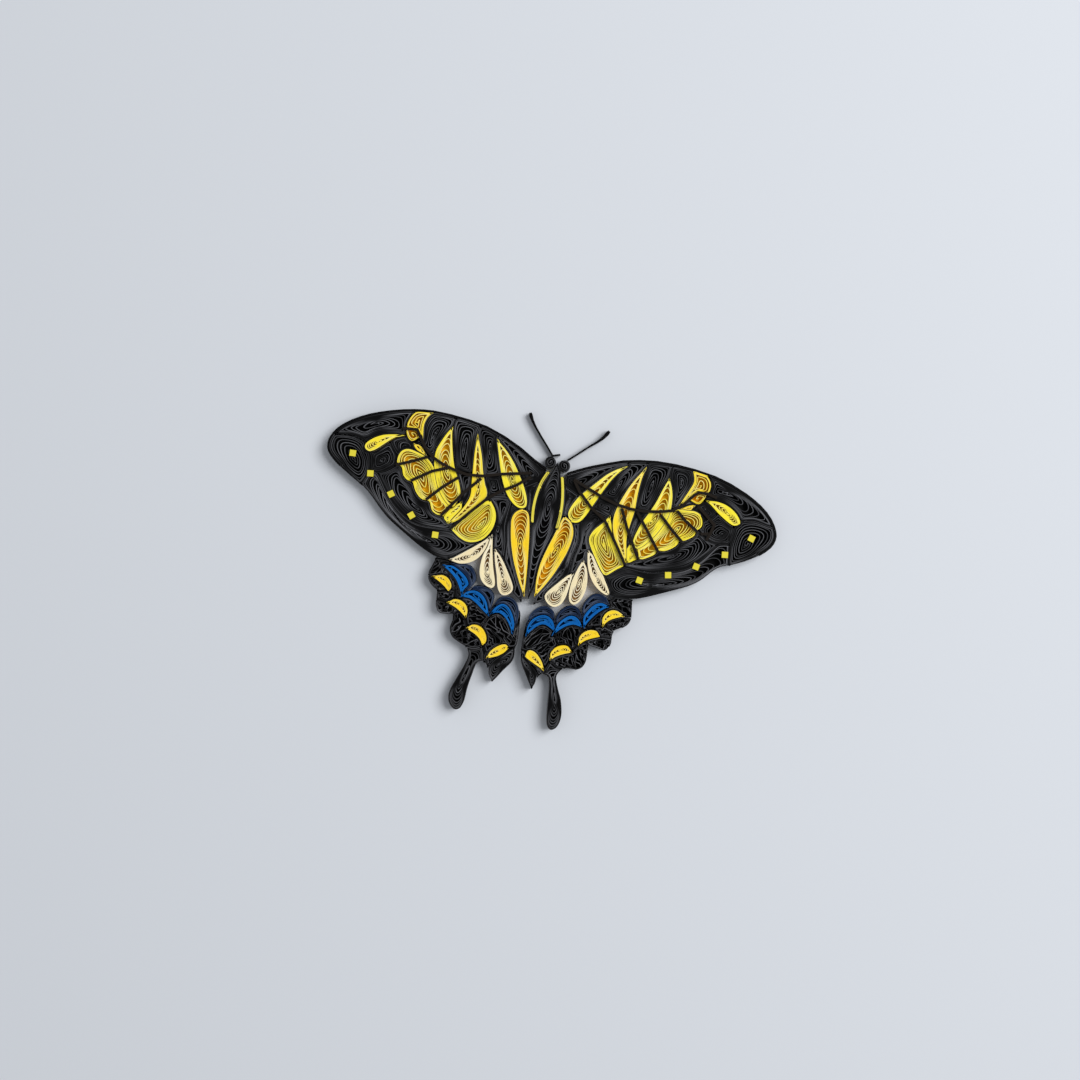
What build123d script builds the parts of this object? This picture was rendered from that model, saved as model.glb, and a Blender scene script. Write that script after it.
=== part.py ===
from build123d import *
import os
from collections import namedtuple

# Quilled paper swallowtail, lying on its back: wings in the XY plane, head toward +Y,
# Z = 0 is the flat back that is glued down. All sizes in mm.
wing_span = 107.3
strip_width = 3.0
glue_gap = 0.06
rim_width = 0.5
recess_depth = 0.7
vein_width = 0.65
vein_height = 0.6
square_side = 1.45
square_height = 0.4
stripe_width = 0.75
antenna_width = 0.38
antenna_height = 1.6
club_width = 0.86
eye_hole = 0.5
facet_error = 0.085
outer_turns = 0.45
opening_sides = 6
core_share = 0.45
core_sides = 5

# The outlines below are drawn at this span and scaled to the span above.
drawn_span = 107.3
scale_up = wing_span / drawn_span

# A pinched point of a roll. Plain points lie on a round stretch.
Pinch = namedtuple("Pinch", "x y")


def spread(points):
    """Facets of an outline that runs round between pinches. A point is set between each two,
    (9 (b + c) - (a + d)) / 16, where the round stretch leaves the straight line by enough."""
    drawn = [Vector(p[0], p[1]) * scale_up for p in points]
    sharp = [isinstance(p, Pinch) for p in points]
    count = len(drawn)
    facets = []
    for i in range(count):
        j = (i + 1) % count
        before, start, end, after = drawn[i - 1], drawn[i], drawn[j], drawn[(i + 2) % count]
        facets.append(start)
        if sharp[i] and sharp[j]:
            continue
        if sharp[i]:
            before = start * 2 - end
        if sharp[j]:
            after = end * 2 - start
        halfway = ((start + end) * 9 - before - after) / 16
        if (halfway - (start + end) / 2).length > facet_error:
            facets.append(halfway)
    return facets


def filled(points):
    """Face inside a closed outline."""
    with BuildSketch() as shape:
        with BuildLine():
            Polyline(*points, close=True)
        make_face()
    return shape.face()


def grown(face):
    """The face with room for glue round it."""
    with BuildSketch() as shape:
        offset(face, amount=glue_gap, kind=Kind.INTERSECTION)
    return shape.face()


def fitted(face, neighbours):
    """The face cut back where it meets rolls that are placed already."""
    box = face.bounding_box()
    with BuildSketch() as shape:
        add(face)
        for other in neighbours:
            near = other.bounding_box()
            apart_x = near.min.X > box.max.X or near.max.X < box.min.X
            apart_y = near.min.Y > box.max.Y or near.max.Y < box.min.Y
            if not apart_x and not apart_y:
                add(other, mode=Mode.SUBTRACT)
    return shape.faces().sort_by(SortBy.AREA)[-1]


def band(points, width):
    """Face of a strip of paper seen on its edge."""
    with BuildSketch() as shape:
        with BuildLine():
            Polyline(*[Vector(*p) * scale_up for p in points])
        trace(line_width=width)
    return shape.face()


def tapered(points):
    """Face of an antenna, which thickens toward its end."""
    path = [Vector(x, y) * scale_up for x, y, _ in points]
    left = []
    right = []
    for i, (_, _, share) in enumerate(points):
        ahead = (path[min(i + 1, len(path) - 1)] - path[max(i - 1, 0)]).normalized()
        half_width = (antenna_width + (club_width - antenna_width) * share) / 2
        left.append(path[i] + Vector(-ahead.Y, ahead.X) * half_width)
        right.append(path[i] - Vector(-ahead.Y, ahead.X) * half_width)
    return filled(left + right[::-1])


# Rolls, in the order in which they are placed: a later roll gives way to an earlier one.
# Each entry is a piece, or several like pieces, with the outline read along its edge.
rolls = {
    "abdomen_roll_left": [[
        (-6.9, 4.0), (-5.4, 5.0), (-4.0, 4.6), (-3.2, 2.6), (-2.4, -1.5), (-1.6, -7.0), (-1.1, -11.5),
        Pinch(-0.8, -15.1), (-2.8, -11.8), (-4.9, -7.6), (-6.5, -3.2), (-7.3, 0.4), (-7.5, 2.4)]],
    "abdomen_roll_right": [[
        Pinch(4.4, 5.6), (6.0, 4.7), (7.1, 3.0), (7.4, 0.5), (6.6, -3.6), (5.0, -8.0), (3.2, -11.6),
        Pinch(1.5, -14.5), (1.0, -10.8), (1.1, -6.8), (1.9, -3.0), (2.9, 0.6), (3.6, 3.4)]],
    "body_roll": [[
        Pinch(0.3, 17.4), (-0.6, 15.2), (-2.1, 11.0), (-2.8, 6.0), (-2.8, 0.5), (-2.2, -5.0), (-1.4, -10.0),
        Pinch(0.2, -15.4), (1.4, -9.5), (1.8, -5.0), (2.9, 0.0), (3.3, 5.0), (2.9, 10.0), (2.0, 14.0),
        (1.1, 15.8)]],
    "bar_inner_left": [[
        Pinch(-14.8, 20.0), (-13.4, 15.8), (-12.0, 11.8), (-10.3, 8.4), (-8.3, 6.1), (-6.3, 5.1),
        (-4.8, 5.7), (-5.0, 7.8), (-6.6, 11.0), (-9.2, 14.8), (-12.0, 17.8)]],
    "bar_inner_right": [[
        Pinch(16.6, 20.0), (14.4, 18.9), (11.8, 16.8), (9.2, 13.7), (6.9, 10.9), (5.4, 8.0), (5.1, 5.9),
        (6.3, 4.5), (8.2, 4.9), (9.6, 7.2), (10.6, 9.6), (11.9, 12.6), (13.4, 15.8), (15.0, 18.2)]],
    "bar_middle_left": [[
        Pinch(-19.4, 20.2), (-19.3, 16.0), (-18.9, 12.0), (-18.5, 8.5), (-18.2, 5.4), (-19.4, 2.2),
        (-20.9, -0.2), Pinch(-21.9, -2.0), (-19.8, -0.7), (-17.1, 2.3), (-14.3, 6.2), (-15.2, 8.8),
        (-16.3, 11.7), (-17.4, 15.4)]],
    "bar_middle_right": [[
        Pinch(21.0, 20.9), (20.4, 17.8), (20.2, 14.0), (20.3, 10.0), (19.9, 6.4), (19.8, 3.0), (20.4, 0.2),
        Pinch(20.9, -2.4), (19.2, -0.5), (17.2, 2.3), (15.9, 5.4), (15.7, 8.4), (16.5, 11.8), (17.8, 15.3),
        (19.3, 18.2)]],
    "bar_outer_left": [[
        Pinch(-25.4, 20.6), (-26.8, 18.0), (-28.0, 14.8), (-28.1, 12.2), (-27.5, 9.6), (-26.0, 6.0),
        (-24.0, 3.4), (-21.7, 1.9), (-20.8, 3.4), (-20.3, 5.4), (-21.5, 8.6), (-23.1, 11.6), (-24.2, 15.0),
        (-25.0, 18.2)]],
    "bar_outer_right": [[
        Pinch(26.6, 19.3), (27.6, 17.4), (28.3, 15.0), (28.5, 12.2), (28.0, 9.4), (26.6, 6.2), (24.9, 3.6),
        (22.6, 1.4), (21.3, 2.6), (21.5, 4.9), (22.3, 7.6), (23.4, 10.0), (24.7, 13.2), (25.6, 16.4)]],
    "cell_base_left": [[
        Pinch(-13.3, 5.6), (-11.9, 3.9), (-11.1, 1.6), (-11.5, -1.3), (-13.0, -3.7), (-15.0, -4.9),
        (-17.0, -5.1), (-19.0, -4.3), Pinch(-20.9, -3.0), (-19.2, 0.2), (-16.2, 3.8)]],
    "cell_base_right": [[
        Pinch(14.9, 7.8), (15.7, 6.0), (17.2, 2.8), (19.0, -0.2), Pinch(20.6, -3.1), (19.0, -4.3),
        (17.4, -5.8),
        (16.2, -6.0), (14.6, -4.2), (12.8, -1.7), (11.4, 0.6), (11.2, 2.2), (12.2, 4.2), (13.6, 5.8)]],
    "cell_wedge_left": [[
        Pinch(-19.7, 3.9), (-21.6, 2.2), (-23.2, -0.4), (-22.5, -1.5), (-21.2, -1.8), (-19.4, 0.9)]],
    "cell_wedge_right": [[
        Pinch(20.9, 2.6), (22.6, 1.4), (23.3, -0.5), (22.4, -1.5), (21.0, -2.2), (20.0, -0.4)]],
    "cell_roll_left": [[
        (-36.6, 10.9), (-36.0, 12.5), (-34.5, 13.3), (-32.3, 13.0), (-30.0, 12.2), (-27.6, 10.0),
        (-25.2, 5.4), (-21.9, 1.8), Pinch(-23.3, -0.5), (-24.8, -0.5), (-26.3, 0.3), Pinch(-27.2, 2.3),
        (-28.5, 2.2), (-29.9, 2.8), (-31.1, 4.1), Pinch(-31.9, 5.8), (-33.3, 6.0), (-34.6, 7.1),
        Pinch(-35.2, 8.7), (-36.4, 9.4)]],
    "cell_roll_right": [[
        (29.4, 12.5), (32.0, 12.7), (33.9, 12.9), (35.6, 12.3), (36.4, 10.9), (36.4, 9.5), Pinch(35.5, 8.4),
        (35.2, 7.2), (34.2, 6.3), (33.0, 5.5), Pinch(32.0, 5.3), (31.6, 4.1), (30.5, 3.1), (29.0, 2.2),
        Pinch(27.5, 2.1), (27.0, 1.0), (25.8, 0.1), (24.4, -0.7), Pinch(23.2, -0.7), (22.2, 1.6), (24.9, 4.6),
        (27.0, 8.4), (27.8, 11.4)]],
    "costal_comma_left": [[
        Pinch(-30.0, 23.2), (-31.5, 21.6), (-32.1, 19.3), (-31.8, 17.3), Pinch(-31.6, 15.8), (-32.7, 17.4),
        (-33.5, 18.1), (-34.8, 18.1), (-36.0, 18.3), (-35.9, 19.9), (-35.0, 21.7), (-33.4, 22.9),
        (-31.8, 23.3)]],
    "costal_comma_right": [[
        Pinch(31.4, 22.7), (33.4, 22.6), (35.3, 21.6), (36.6, 19.8), (36.4, 17.7), (35.2, 17.4), (33.8, 17.5),
        (32.9, 16.4), (31.6, 14.6), Pinch(29.9, 12.9), (31.0, 15.6), (32.2, 18.6), (32.4, 20.2)]],
    "costal_links_left": [
        [(-35.9, 18.3), (-35.6, 16.4), (-34.5, 15.2), (-33.4, 15.5), (-32.4, 17.0), (-33.6, 18.4)],
        [Pinch(-33.7, 14.8), (-32.2, 14.8), (-30.9, 13.8), Pinch(-29.8, 12.3), (-31.5, 13.0), (-32.8, 13.6)]],
    "costal_links_right": [
        [(33.2, 17.6), (36.0, 17.6), (35.5, 15.6), (34.6, 14.6), (33.1, 14.9), (32.2, 15.6)],
        [Pinch(34.0, 14.4), (32.4, 13.9), Pinch(30.2, 12.4), (31.6, 12.3), (33.2, 12.9)]],
    "apex_drop_left": [[
        Pinch(-35.9, 16.2), (-38.0, 16.0), (-40.6, 15.4), (-43.0, 14.1), (-44.6, 12.4), (-44.4, 11.2),
        (-43.2, 10.8), (-41.6, 11.8), (-39.6, 13.8), (-38.0, 15.2)]],
    "apex_drop_right": [[
        Pinch(36.0, 15.9), (38.2, 16.2), (40.8, 15.9), (43.2, 14.7), (44.8, 13.0), (44.8, 11.9), (43.5, 11.4),
        (41.6, 12.2), (39.6, 13.4), (37.6, 14.9)]],
    "cream_drops_left": [
        [Pinch(-19.9, -10.1), (-17.6, -8.2), (-15.0, -6.0), (-12.8, -4.0), Pinch(-11.5, -2.6), (-11.8, -5.2),
         (-13.0, -8.0), (-15.0, -9.8), (-17.5, -10.5)],
        [Pinch(-11.2, -2.1), (-12.0, -5.0), (-12.5, -8.2), (-12.4, -11.4), (-11.4, -13.5), (-9.6, -14.6),
         (-8.3, -14.2), (-8.3, -12.8), (-9.4, -9.6), (-10.3, -6.0), (-10.8, -3.4)],
        [Pinch(-10.0, -5.3), (-9.3, -8.2), (-8.2, -11.4), (-7.4, -14.2), (-6.1, -15.6), (-4.5, -15.2),
         (-3.7, -13.6), (-4.9, -11.2), (-6.8, -8.4), (-8.6, -6.3)]],
    "cream_drops_right": [
        [Pinch(11.4, -1.1), (13.2, -2.2), (15.4, -4.8), (17.1, -7.5), (18.5, -9.8), (18.1, -10.6),
         (16.6, -10.2),
         (14.8, -9.0), (13.2, -7.0), (12.0, -4.2)],
        [Pinch(10.9, -3.6), (12.1, -5.2), (12.9, -7.8), (13.0, -10.6), (12.3, -13.1), (11.0, -14.4),
         (9.7, -13.8), (9.2, -11.8), (9.3, -9.0), (10.0, -6.0)],
        [Pinch(9.4, -7.1), (9.2, -9.4), (8.9, -12.4), (8.1, -14.8), (6.6, -15.9), (5.0, -15.5), (3.8, -14.1),
         (4.1, -12.8), (5.8, -10.6), (7.8, -8.2)]],
    "blue_crescents_left": [
        [Pinch(-21.2, -11.6), (-18.9, -11.2), (-16.6, -12.1), (-14.8, -13.5), (-14.1, -15.0), (-14.9, -16.2),
         Pinch(-15.2, -17.8), (-16.2, -15.9), (-17.2, -14.4), (-19.0, -12.9)],
        [Pinch(-15.5, -18.0), (-14.3, -16.5), (-12.3, -15.8), (-10.3, -16.6), (-8.9, -18.4),
         Pinch(-7.9, -21.2), (-9.5, -20.2), (-11.3, -18.9), (-13.4, -17.9)],
        [Pinch(-8.1, -21.0), (-7.2, -19.0), (-5.6, -17.6), (-4.0, -18.0), (-2.6, -19.7), (-1.7, -22.0),
         Pinch(-1.7, -24.3), (-2.9, -22.3), (-4.4, -20.6), (-6.2, -19.9)]],
    "blue_crescents_right": [
        [Pinch(19.2, -13.1), (17.4, -12.6), (15.8, -13.2), (14.4, -15.0), (13.7, -17.0), Pinch(14.3, -19.4),
         (15.0, -17.8), (16.3, -15.8), (17.8, -14.2)],
        [Pinch(14.0, -19.2), (13.3, -18.0), (12.0, -17.0), (10.5, -17.0), (9.0, -18.2), (8.0, -19.8),
         Pinch(7.3, -22.7), (8.4, -21.3), (10.0, -19.8), (12.0, -18.9)],
        [Pinch(8.1, -21.6), (7.0, -19.2), (5.3, -18.1), (3.4, -18.5), (1.8, -20.0), (1.2, -22.0),
         Pinch(1.4, -24.1), (2.2, -22.6), (3.6, -21.0), (5.3, -20.3)]],
    "navy_crescents_left": [
        [Pinch(-19.4, -10.9), (-17.0, -10.3), (-14.6, -10.4), (-13.2, -11.8), (-12.7, -13.8),
         Pinch(-14.4, -17.0), (-15.6, -14.2), (-17.4, -12.2)],
        [Pinch(-13.7, -16.3), (-12.8, -14.9), (-11.0, -14.5), (-9.0, -14.9), (-7.6, -16.5),
         Pinch(-8.0, -20.6),
         (-9.4, -18.8), (-11.4, -16.8)],
        [Pinch(-7.9, -20.4), (-6.9, -17.0), (-5.2, -15.8), (-3.4, -15.9), (-1.9, -17.2), (-1.2, -19.4),
         Pinch(-1.2, -22.2), (-2.6, -20.8), (-4.4, -18.8), (-6.2, -18.4)]],
    "navy_crescents_right": [
        [Pinch(19.3, -12.7), (18.3, -11.4), (16.6, -10.7), (14.9, -11.0), (13.6, -12.6), (13.0, -14.6),
         Pinch(13.6, -17.2), (15.0, -15.2), (16.8, -13.2)],
        [Pinch(13.8, -18.4), (13.2, -16.2), (11.7, -14.8), (9.9, -14.8), (8.3, -16.1), (7.5, -18.0),
         Pinch(7.6, -20.8), (9.0, -19.2), (10.8, -17.8)],
        [Pinch(7.5, -20.2), (6.9, -17.3), (5.3, -16.2), (3.6, -16.3), (2.1, -17.5), (1.2, -19.2),
         Pinch(1.0, -21.8), (2.4, -20.4), (4.2, -19.2), (6.0, -19.2)]],
    "lunules_left": [
        [Pinch(-23.0, -14.7), (-21.0, -13.9), (-19.3, -14.2), (-18.1, -15.5), (-18.0, -16.7),
         Pinch(-18.5, -17.4),
         (-19.7, -16.4), (-21.4, -15.4)],
        [Pinch(-18.3, -20.0), (-17.0, -18.9), (-15.4, -18.7), (-13.8, -19.5), (-13.0, -21.1),
         Pinch(-13.1, -22.7),
         (-14.7, -21.5), (-16.4, -20.6)],
        [Pinch(-12.6, -24.9), (-11.7, -23.9), (-10.2, -23.6), (-8.6, -24.3), (-7.5, -25.9), (-7.4, -27.3),
         Pinch(-8.1, -28.2), (-8.8, -27.0), (-10.3, -25.9)],
        [Pinch(-6.6, -30.9), (-6.2, -29.3), (-5.2, -28.0), (-3.9, -27.0), (-2.6, -26.7), Pinch(-1.8, -27.4),
         (-2.7, -28.7), (-4.4, -30.0)]],
    "lunules_right": [
        [Pinch(23.1, -14.6), (21.6, -13.8), (20.0, -13.7), (18.6, -14.8), (18.1, -16.4), Pinch(18.5, -18.2),
         (19.2, -17.0), (20.4, -15.9)],
        [Pinch(18.5, -20.4), (17.5, -19.3), (15.8, -19.3), (14.3, -20.3), (13.6, -21.8), Pinch(13.9, -23.6),
         (14.9, -22.3), (16.5, -21.3)],
        [Pinch(12.9, -25.4), (11.6, -24.1), (10.0, -24.2), (8.6, -25.1), (7.8, -26.7), Pinch(8.1, -28.3),
         (9.2, -27.2), (10.9, -26.2)],
        [Pinch(7.3, -31.0), (6.5, -29.2), (5.2, -27.7), (3.8, -26.9), (2.5, -27.1), Pinch(2.2, -28.7),
         (3.6, -29.4), (5.4, -30.2)]],
    "tail_roll_left": [[
        Pinch(-8.2, -28.4), (-9.8, -29.2), Pinch(-11.6, -29.2), (-10.9, -30.7), (-11.0, -32.2),
        (-11.6, -34.3), (-12.4, -36.6), (-13.2, -39.0), (-13.5, -40.9), (-13.0, -42.8), (-11.5, -44.1),
        (-10.1, -43.6), (-9.5, -41.6), (-9.4, -38.6), (-9.0, -35.6), (-8.7, -33.4), (-8.2, -32.2),
        Pinch(-7.0, -31.7), (-7.4, -30.0)]],
    "tail_roll_right": [[
        Pinch(8.2, -28.5), (7.6, -30.2), Pinch(6.9, -31.7), (8.3, -32.0), (8.9, -33.2), (9.3, -35.4),
        (9.6, -38.2), (10.0, -41.4), (10.6, -43.4), (11.7, -44.2), (12.9, -43.4), (13.5, -41.6),
        (13.4, -39.4), (12.7, -37.0), (11.7, -35.0), (10.9, -33.2), (10.5, -31.4), Pinch(11.6, -29.5),
        (9.8, -29.5)]],
    "corner_roll_left": [[
        Pinch(-4.1, -36.0), (-5.2, -34.7), (-5.6, -32.8), (-4.6, -30.7), (-2.8, -29.0), (-1.4, -27.6),
        Pinch(-0.5, -26.8), (-0.2, -29.2), (-0.8, -31.0), (-2.2, -33.0), (-3.2, -34.7)]],
    "corner_roll_right": [[
        Pinch(5.3, -35.8), (4.1, -34.0), (2.7, -31.9), (1.5, -29.9), Pinch(1.1, -27.8), (2.2, -29.0),
        (4.0, -30.2),
        (5.4, -31.2), (6.0, -32.6), (5.9, -34.2)]],
}

# The leading edge of each forewing, from the body to past the tip, which has a rim strip.
leading_edges = {
    "left": [
        Pinch(-1.9, 15.6), (-5.0, 17.0), (-8.8, 19.1), (-13.0, 20.9), (-17.5, 22.3), (-22.0, 23.0),
        (-26.5, 23.3),
        (-30.5, 23.3), (-35.0, 22.7), (-40.0, 21.4), (-45.0, 19.5), (-49.0, 17.2), (-51.8, 14.7),
        (-53.2, 12.0), (-53.2, 9.7), (-52.1, 8.0), (-49.5, 6.0)],
    "right": [
        Pinch(2.9, 15.5), (4.8, 16.6), (8.0, 18.2), (11.6, 19.7), (15.2, 21.1), (19.0, 22.0), (23.0, 22.6),
        (27.5, 22.8), (32.0, 22.6), (37.0, 22.0), (41.0, 21.0), (45.0, 19.5), (49.0, 17.4), (52.0, 14.9),
        (53.7, 12.2), (54.0, 10.2), (53.2, 8.1), (51.0, 5.8)],
}

# The outline of each wing's black ground. Its inner side runs hidden under the rolls above.
grounds = {
    "forewing_left": leading_edges["left"] + [
        (-46.0, 4.0), (-43.0, 2.4), (-40.8, 0.7), (-38.5, -1.5), (-35.5, -3.9), (-31.0, -6.5), (-26.5, -8.9),
        Pinch(-23.0, -10.2), Pinch(-19.6, -10.2), Pinch(-15.0, -8.0), Pinch(-11.4, -4.2),
        Pinch(-7.0, -10.0), Pinch(-4.6, -14.0), Pinch(-1.2, -16.4),
        Pinch(-1.4, -13.0), Pinch(-4.0, -3.0), Pinch(-4.5, 2.0), Pinch(-2.8, 2.4), Pinch(-3.0, 5.5),
        Pinch(-2.9, 9.0), Pinch(-2.4, 12.4)],
    "forewing_right": leading_edges["right"] + [
        (48.0, 3.8), (45.0, 2.3), (42.6, 1.3), (40.9, -0.2), (39.2, -2.3), (36.5, -4.5), (32.5, -6.6),
        (28.0, -8.8), Pinch(24.1, -10.3),
        Pinch(19.0, -10.5), Pinch(17.0, -9.3), Pinch(12.4, -3.6), Pinch(11.0, -5.0), Pinch(8.8, -9.0),
        Pinch(5.4, -14.0), Pinch(1.6, -16.4), Pinch(1.8, -13.0), Pinch(3.8, -6.0), Pinch(5.0, 0.0),
        Pinch(5.0, 3.6), Pinch(3.4, 3.6), Pinch(3.2, 8.0), Pinch(2.6, 11.4)],
    "hindwing_left": [
        Pinch(-23.0, -10.0), (-23.4, -11.7), (-24.0, -13.6), (-23.7, -15.6), (-22.5, -17.0),
        Pinch(-21.1, -17.8), (-20.9, -19.5), (-20.8, -21.0), (-20.2, -22.3), (-19.1, -22.9), (-17.6, -22.7),
        Pinch(-16.3, -22.4), (-16.2, -23.8), (-16.5, -25.3), (-16.1, -26.9), (-14.9, -28.1), (-13.0, -28.9),
        Pinch(-11.2, -29.5), Pinch(-9.4, -31.0), Pinch(-8.2, -32.2), (-7.3, -31.8), (-6.4, -32.2),
        Pinch(-5.7, -33.1), Pinch(-4.4, -32.0), Pinch(-2.0, -29.4), Pinch(-0.4, -27.4), (-0.2, -25.6),
        (-0.4, -22.8), (-0.8, -19.4), Pinch(-1.5, -18.2), Pinch(-4.4, -17.0), Pinch(-7.4, -18.4),
        Pinch(-10.6, -16.0), Pinch(-13.4, -16.0), Pinch(-14.2, -12.4), Pinch(-17.0, -11.2),
        Pinch(-19.8, -10.2)],
    "hindwing_right": [
        Pinch(24.1, -10.2), (24.5, -12.2), (24.8, -14.3), (24.3, -16.2), (23.0, -17.4), Pinch(21.4, -18.4),
        (21.2, -19.8), (21.3, -21.4), (20.7, -23.0), (19.6, -23.5), (18.0, -23.2), Pinch(16.3, -22.9),
        (16.4, -24.6), (16.5, -26.6), (15.9, -28.3), (14.5, -29.2), (12.8, -29.2), Pinch(11.2, -29.7),
        Pinch(9.6, -31.0), Pinch(8.2, -32.1), (7.2, -31.7), (6.5, -32.1), Pinch(5.9, -33.2),
        Pinch(4.2, -32.0),
        Pinch(1.2, -28.4), (0.9, -26.0), (0.8, -23.4), (0.9, -21.0), Pinch(1.6, -18.8), Pinch(4.6, -17.4),
        Pinch(7.4, -19.6), Pinch(10.6, -16.2), Pinch(13.6, -17.6), Pinch(14.4, -13.4), Pinch(16.8, -11.8),
        Pinch(19.4, -11.4), Pinch(20.2, -10.2)],
}

# Where one black roll meets the next.
seams = {
    "forewing_left": [
        [(-54.5, 12.6), (-50.5, 13.4), (-47.5, 13.6), (-44.3, 12.6)], [(-36.4, 16.2), (-34.8, 16.8)],
        [(-43.6, 11.3), (-42.6, 9.0), (-42.4, 6.5), (-43.2, 4.0), (-44.6, 1.5)],
        [(-42.4, 6.5), (-40.4, 6.2), (-38.4, 7.2), (-35.6, 9.6)],
        [(-39.2, 14.5), (-37.7, 12.4), (-36.3, 11.0)],
        [(-40.4, 6.2), (-37.0, 1.6), (-33.5, -1.6), (-29.5, -3.6), (-24.5, -3.6), (-20.3, -3.4)],
        [(-31.7, 16.4), (-33.4, 14.7)], [(-30.4, 12.7), (-27.7, 12.9)],
        [(-25.4, 20.2), (-25.0, 23.8)], [(-19.4, 19.8), (-19.0, 23.6)], [(-14.8, 19.6), (-14.3, 22.6)],
        [(-22.6, 10.8), (-18.4, 10.6)], [(-16.7, 10.6), (-11.8, 11.9)], [(-15.0, 5.9), (-9.4, 7.1)],
        [(-12.3, -1.9), (-11.3, -3.0)], [(-8.3, 7.0), (-8.7, 0.5), (-7.8, -3.4), (-7.4, -8.4)],
        [(-6.2, 10.2), (-2.4, 12.6)],
        [(-5.0, 6.4), (-4.3, 4.0)]],
    "forewing_right": [
        [(55.0, 12.6), (51.0, 13.2), (48.0, 13.6), (44.6, 12.6)], [(36.4, 15.9), (35.0, 16.4)],
        [(44.0, 11.8), (43.9, 9.5), (43.6, 7.0), (44.0, 4.5), (44.6, 1.2)],
        [(43.6, 7.0), (41.0, 6.4), (38.6, 6.8), (35.6, 8.8)], [(39.8, 13.8), (38.3, 11.8), (36.0, 10.8)],
        [(41.0, 6.4), (38.4, 2.8), (35.0, -0.6), (31.0, -2.2), (26.0, -3.4), (20.2, -3.3)],
        [(30.0, 13.4), (30.6, 12.2)], [(30.6, 12.5), (28.1, 12.6)],
        [(26.6, 18.9), (26.8, 23.4)], [(21.0, 20.4), (21.2, 23.2)], [(16.6, 19.6), (16.8, 22.4)],
        [(20.0, 10.4), (23.8, 10.4)], [(11.2, 11.7), (16.6, 10.6)], [(15.0, 7.2), (10.0, 8.6)],
        [(16.2, -5.6), (16.6, -7.4)], [(8.0, 5.2), (9.0, 0.6), (8.4, -3.2), (8.4, -8.0)],
        [(7.0, 10.6), (2.6, 12.6)]],
    "hindwing_left": [
        [(-24.8, -14.8), (-22.6, -14.7)], [(-21.8, -18.1), (-18.4, -17.2)],
        [(-18.3, -16.9), (-15.5, -16.6)], [(-13.8, -20.1), (-11.2, -18.4)],
        [(-21.6, -19.7), (-17.8, -20.0)], [(-16.8, -16.4), (-16.6, -19.4)], [(-16.9, -23.0), (-14.7, -20.8)],
        [(-13.2, -22.3), (-12.2, -24.8)], [(-9.4, -24.2), (-7.7, -20.8)], [(-2.2, -27.4), (0.4, -26.6)],
        [(-8.0, -27.8), (-6.4, -30.6)], [(-8.0, -27.6), (-8.5, -29.0)]],
    "hindwing_right": [
        [(25.6, -14.7), (22.7, -14.6)], [(22.2, -18.7), (18.6, -17.6)], [(18.6, -17.8), (14.2, -19.2)],
        [(22.0, -20.2), (18.1, -20.4)], [(16.6, -18.4), (16.6, -19.6)], [(16.9, -23.3), (15.2, -22.0)],
        [(13.9, -23.2), (12.6, -25.4)], [(9.4, -24.8), (7.5, -21.4)], [(2.8, -27.4), (0.2, -27.0)],
        [(8.1, -28.0), (7.1, -30.8)]],
}

# Black rolls of each wing, each named by a point inside it.
black_rolls = {
    "apex_roll_left": ("forewing_left", [(-44.0, 17.5)]),
    "tip_roll_left": ("forewing_left", [(-48.5, 9.0)]),
    "outer_margin_rolls_left": ("forewing_left", [(-27.0, -6.5)]),
    "inner_margin_rolls_left": ("forewing_left", [(-40.6, 9.5), (-37.0, 13.6), (-31.0, 1.0)]),
    "bar_gap_rolls_left": ("forewing_left", [(-29.5, 18.0), (-22.0, 17.0), (-20.3, 8.5), (-16.0, 17.0)]),
    "base_rolls_left": (
        "forewing_left", [(-9.0, 17.0), (-3.9, 8.0), (-13.2, 9.0), (-10.0, 1.0), (-5.4, -9.0)]),
    "apex_roll_right": ("forewing_right", [(44.0, 17.5)]),
    "tip_roll_right": ("forewing_right", [(48.5, 8.0)]),
    "outer_margin_rolls_right": ("forewing_right", [(27.0, -6.5)]),
    "inner_margin_rolls_right": ("forewing_right", [(40.6, 9.5), (37.0, 13.6), (31.0, 0.4)]),
    "bar_gap_rolls_right": ("forewing_right", [(29.5, 18.0), (23.4, 16.0), (21.4, 8.5), (15.8, 16.0)]),
    "base_rolls_right": ("forewing_right", [(9.0, 16.4), (4.3, 8.0), (13.0, 9.0), (10.2, 2.0), (6.0, -9.6)]),
    "upper_rolls_left": ("hindwing_left", [(-22.4, -12.6), (-14.0, -18.4), (-11.0, -21.6), (-5.4, -23.4)]),
    "lower_rolls_left": (
        "hindwing_left", [(-21.6, -16.4), (-18.8, -18.5), (-18.6, -21.4), (-14.0, -26.0), (-6.2, -31.6)]),
    "upper_rolls_right": ("hindwing_right", [(22.6, -12.4), (11.0, -21.8), (5.4, -23.4)]),
    "lower_rolls_right": (
        "hindwing_right", [(22.4, -16.4), (19.2, -19.1), (19.4, -21.6), (14.0, -26.4), (6.4, -31.5)]),
}

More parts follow.
